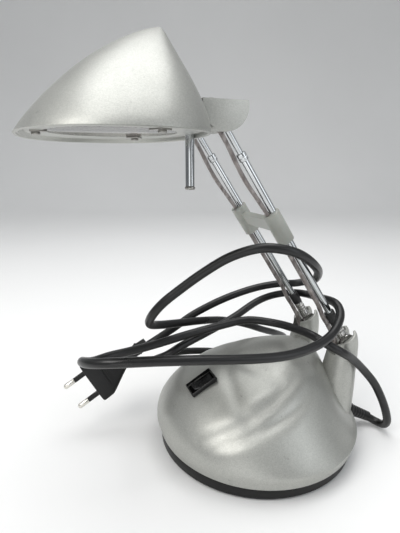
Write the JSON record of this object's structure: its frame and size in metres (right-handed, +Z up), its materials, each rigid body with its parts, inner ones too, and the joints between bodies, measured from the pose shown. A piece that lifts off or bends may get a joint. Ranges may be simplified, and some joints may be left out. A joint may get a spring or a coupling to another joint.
{
  "type": "desk lamp",
  "caption": "Halogen desk lamp with a domed base, a tilting telescopic twin-tube arm and a sail-shaped tilting shade.",
  "frame": {"origin": "centre of the base's underside, on the table", "axes": "+Z up; the arm leans towards -Y; the hinge axes run along X"},
  "size_m": [0.1729, 0.2492, 0.2784],
  "materials": {
    "silver_paint": "silver-grey metallic paint on moulded plastic, fine speckle, satin",
    "black_pan": "black moulded plastic, satin",
    "rubber_foot": "dark rubber foot sheet, matte",
    "steel_screw": "zinc-plated steel",
    "iron_core": "stacked lamination steel, lacquered",
    "copper_coil": "tape-wrapped copper winding, gloss lacquer",
    "white_plastic": "white moulded plastic",
    "switch_black": "black switch plastic, semi-gloss",
    "cord_pvc": "black PVC cord sheath, semi-gloss",
    "plug_pvc": "black moulded PVC, fine-textured",
    "plug_metal": "nickel-plated pins",
    "chrome": "bright chrome",
    "foot_metal": "nickel-plated turned fitting",
    "sleeve_black": "black sleeve",
    "clip_plastic": "grey-green moulded plastic, satin",
    "lead_pvc": "clear-sleeved copper lead, glossy",
    "glass_clear": "clear heat-resistant glass",
    "reflector_alu": "bright spun aluminium",
    "ceramic": "white ceramic",
    "bulb_glass": "clear quartz capsule",
    "claw_metal": "dark plated spring steel"
  },
  "bodies": {
    "base": {"foot_pad": "rubber_foot", "bottom_pan": "black_pan", "base_shell": "silver_paint", "pan_screws": "steel_screw", "transformer_core": "iron_core", "transformer_coil": "copper_coil", "transformer_bracket": "steel_screw", "terminal_block": "white_plastic", "switch_body": "switch_black", "cord_gland": "cord_pvc", "hinge_pin_l": "steel_screw", "hinge_pin_r": "steel_screw", "mains_cord": "cord_pvc", "plug_body": "plug_pvc", "plug_strain_relief": "plug_pvc", "plug_pin_a": "plug_metal", "plug_pin_b": "plug_metal", "plug_sleeve_a": "plug_pvc", "plug_sleeve_b": "plug_pvc"},
    "rocker": {"switch_rocker": "switch_black"},
    "lower_arm": {"strut_foot_l": "foot_metal", "strut_foot_r": "foot_metal", "strut_sleeve_l": "sleeve_black", "strut_sleeve_r": "sleeve_black", "lower_tube_l": "chrome", "lower_tube_r": "chrome", "tube_collar_l": "chrome", "tube_collar_r": "chrome", "tube_clip": "clip_plastic", "lower_lead_l": "lead_pvc", "lower_lead_r": "lead_pvc"},
    "upper_arm": {"upper_rod_l": "chrome", "upper_rod_r": "chrome", "upper_lead_l": "lead_pvc", "upper_lead_r": "lead_pvc", "head_housing": "silver_paint", "head_axle": "steel_screw"},
    "head": {"shade_shell": "silver_paint", "shade_bezel": "silver_paint", "head_knuckle": "silver_paint", "cover_glass": "glass_clear", "glass_claws": "claw_metal", "claw_screws": "claw_metal", "reflector": "reflector_alu", "lamp_holder": "ceramic", "halogen_bulb": "bulb_glass", "bulb_pins": "steel_screw", "handle_rod": "chrome", "handle_tip": "claw_metal"}
  },
  "joints": [
    {"name": "switch_rock", "type": "hinge", "parent": "base", "child": "rocker", "pos_m": [0.007, -0.04275, 0.05063], "axis": [1, 0, 0], "range_deg": [0, 18]},
    {"name": "arm_tilt", "type": "hinge", "parent": "base", "child": "lower_arm", "pos_m": [0, 0.064, 0.0755], "axis": [1, 0, 0], "range_deg": [-34, 18], "deforming": ["mains_cord"]},
    {"name": "arm_extend", "type": "slide", "parent": "lower_arm", "child": "upper_arm", "axis": [0, -0.5592, 0.829], "range_m": [-0.012, 0.075], "deforming": ["upper_lead_l", "upper_lead_r"]},
    {"name": "head_tilt", "type": "hinge", "parent": "upper_arm", "child": "head", "pos_m": [0, -0.03865, 0.23484], "axis": [1, 0, 0], "range_deg": [-50, 25]}
  ]
}
